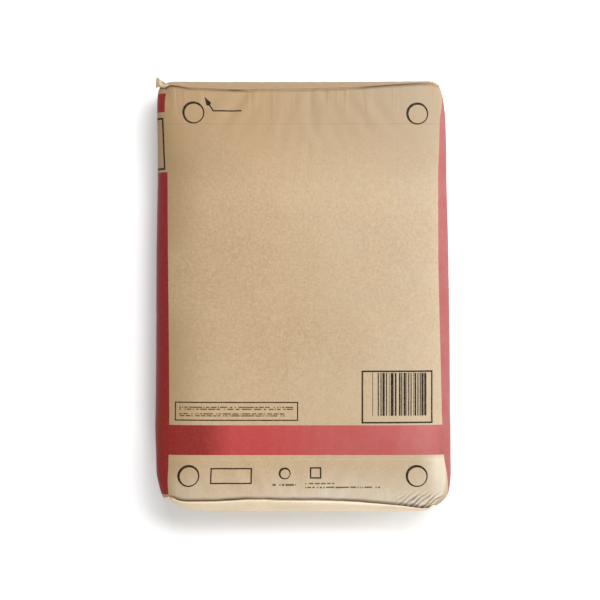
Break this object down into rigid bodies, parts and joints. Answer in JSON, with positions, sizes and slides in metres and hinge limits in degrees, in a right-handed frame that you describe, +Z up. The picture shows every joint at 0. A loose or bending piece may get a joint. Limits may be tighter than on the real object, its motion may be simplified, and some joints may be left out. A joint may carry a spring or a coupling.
{
  "type": "cement bag",
  "caption": "Filled kraft paper cement sack lying flat, with pasted block ends, cover patches and an opening tab at one corner.",
  "frame": {"origin": "on the floor, under the middle of the sack's outline", "axes": "+Z up out of the printed face; +Y along the sack's length, towards the end that is torn open; +X across its width"},
  "size_m": [0.3992, 0.5798, 0.096],
  "materials": {
    "printed_kraft": "matte",
    "patch_kraft": "matte"
  },
  "bodies": {
    "root": {"sack_body": "printed_kraft", "top_end_patch": "patch_kraft", "bottom_end_patch": "patch_kraft", "opening_tab": "patch_kraft"}
  },
  "joints": []
}
